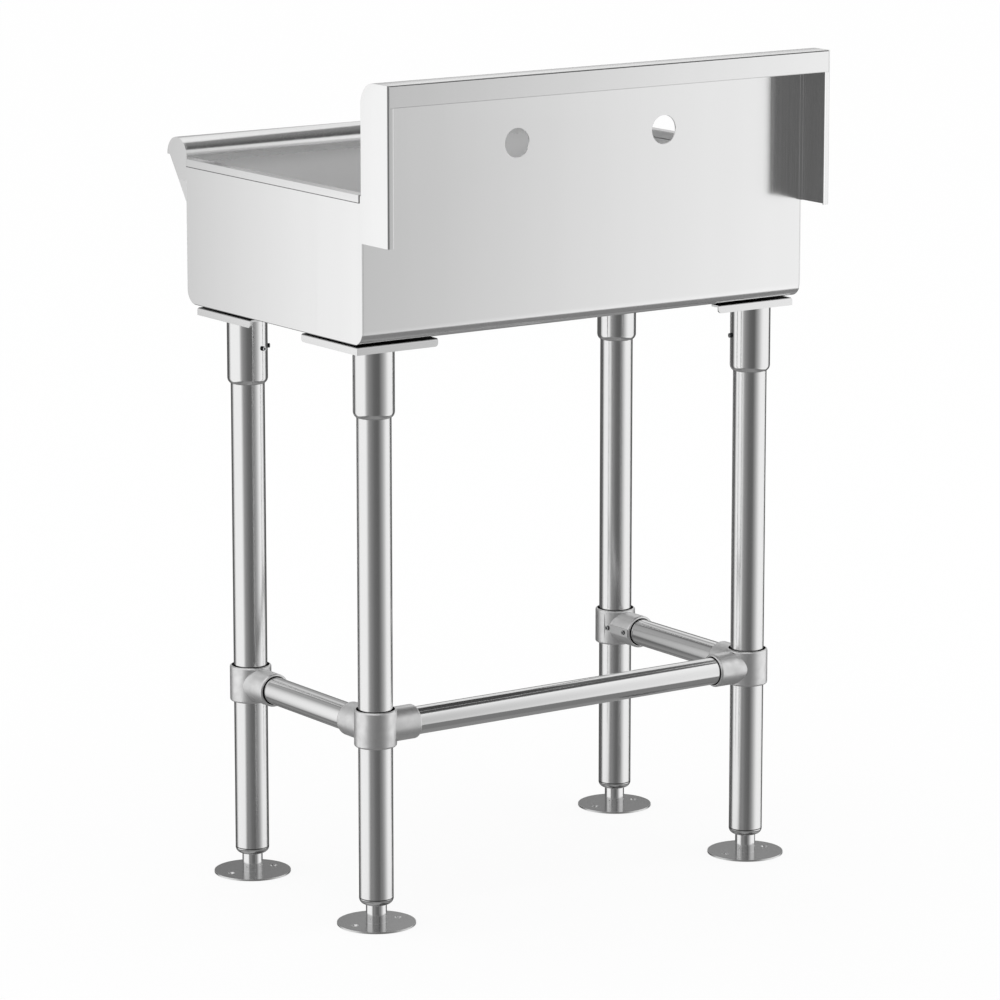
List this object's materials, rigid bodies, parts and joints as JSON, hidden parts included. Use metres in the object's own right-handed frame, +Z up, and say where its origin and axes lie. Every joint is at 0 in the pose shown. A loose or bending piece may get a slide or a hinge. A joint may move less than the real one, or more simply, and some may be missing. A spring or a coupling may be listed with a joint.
{
  "type": "utility laundry sink",
  "caption": "Free-standing stainless utility sink: folded bowl with rolled front rim and tall splash, on tube legs with cross rails and adjustable flanged feet.",
  "frame": {"origin": "on the floor, under the middle of the sink's bounding box", "axes": "+Z up; +Y towards the wall; +X to the right of a user who stands in front of the sink"},
  "size_m": [0.6168, 0.461, 0.9652],
  "materials": {
    "sheet": "fine brushed stainless sheet",
    "tube": "polished stainless tube",
    "casting": "satin die casting",
    "turned": "turned and polished stainless",
    "screw": "black oxide"
  },
  "bodies": {
    "sink": {"bowl_wrap": "sheet", "end_panel_left": "sheet", "end_panel_right": "sheet", "ledge_cap_left": "sheet", "ledge_cap_right": "sheet", "gusset_front_left": "sheet", "gusset_front_right": "sheet", "gusset_rear_left": "sheet", "gusset_rear_right": "sheet", "leg_socket_front_left": "sheet", "leg_socket_front_right": "sheet", "leg_socket_rear_left": "sheet", "leg_socket_rear_right": "sheet", "socket_set_screws": "screw", "leg_front_left": "tube", "leg_front_right": "tube", "leg_rear_left": "tube", "leg_rear_right": "tube", "rail_tee_left": "casting", "rail_tee_right": "casting", "rail_corner_left": "casting", "rail_corner_right": "casting", "side_rail_left": "tube", "side_rail_right": "tube", "rear_rail": "tube", "rail_set_screws": "screw", "foot_insert_front_left": "turned", "foot_insert_front_right": "turned", "foot_insert_rear_left": "turned", "foot_insert_rear_right": "turned"},
    "foot_front_left": {"foot_front_left": "turned"},
    "foot_front_right": {"foot_front_right": "turned"},
    "foot_rear_left": {"foot_rear_left": "turned"},
    "foot_rear_right": {"foot_rear_right": "turned"}
  },
  "joints": [
    {"name": "foot_front_left_screw", "type": "slide", "parent": "sink", "child": "foot_front_left", "axis": [0, 0, -1], "range_m": [0, 0.025]},
    {"name": "foot_front_right_screw", "type": "slide", "parent": "sink", "child": "foot_front_right", "axis": [0, 0, -1], "range_m": [0, 0.025]},
    {"name": "foot_rear_left_screw", "type": "slide", "parent": "sink", "child": "foot_rear_left", "axis": [0, 0, -1], "range_m": [0, 0.025]},
    {"name": "foot_rear_right_screw", "type": "slide", "parent": "sink", "child": "foot_rear_right", "axis": [0, 0, -1], "range_m": [0, 0.025]}
  ]
}
